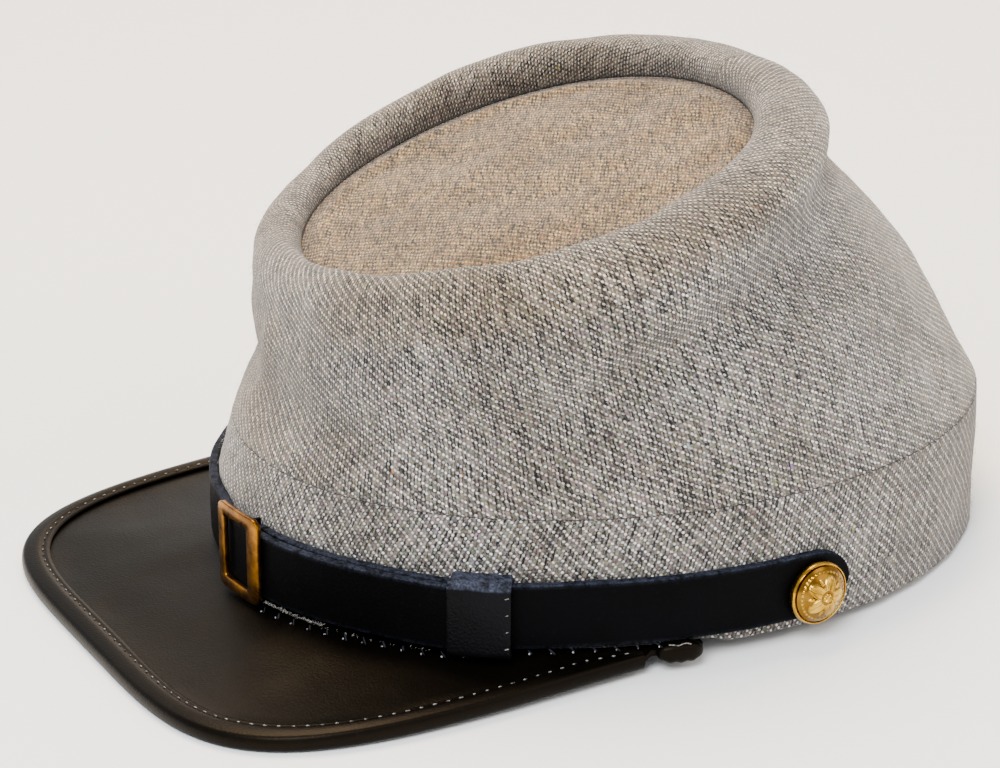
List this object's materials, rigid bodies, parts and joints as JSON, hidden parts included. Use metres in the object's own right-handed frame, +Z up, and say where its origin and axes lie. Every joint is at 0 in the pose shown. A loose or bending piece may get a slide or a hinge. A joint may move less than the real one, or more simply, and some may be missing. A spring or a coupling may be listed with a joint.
{
  "type": "kepi cap",
  "caption": "Woollen kepi cap with a sunk cloth top, a cloth band, a bound leather peak, and a leather chin strap with a buckle, keeper and buttons.",
  "frame": {"origin": "middle of the cap's outline on the surface that it rests on", "axes": "+Z up, -Y towards the front of the peak, +X towards the wearer's left"},
  "size_m": [0.191, 0.248, 0.1202],
  "materials": {
    "tweed": "woollen tweed twill, grey and tan yarns with pale flecks, matt",
    "peak_leather": "smooth black-brown leather with fine grain, soft sheen",
    "strap_leather": "smooth black leather, satin, with burnished edges",
    "brass": "polished brass with a few small scratches"
  },
  "bodies": {
    "root": {"crown_side": "tweed", "crown_top": "tweed", "band": "tweed", "peak": "peak_leather", "peak_binding": "peak_leather", "chin_strap_left": "strap_leather", "chin_strap_right": "strap_leather", "strap_keeper": "strap_leather", "buckle": "brass", "button_left": "brass", "button_right": "brass"}
  },
  "joints": []
}
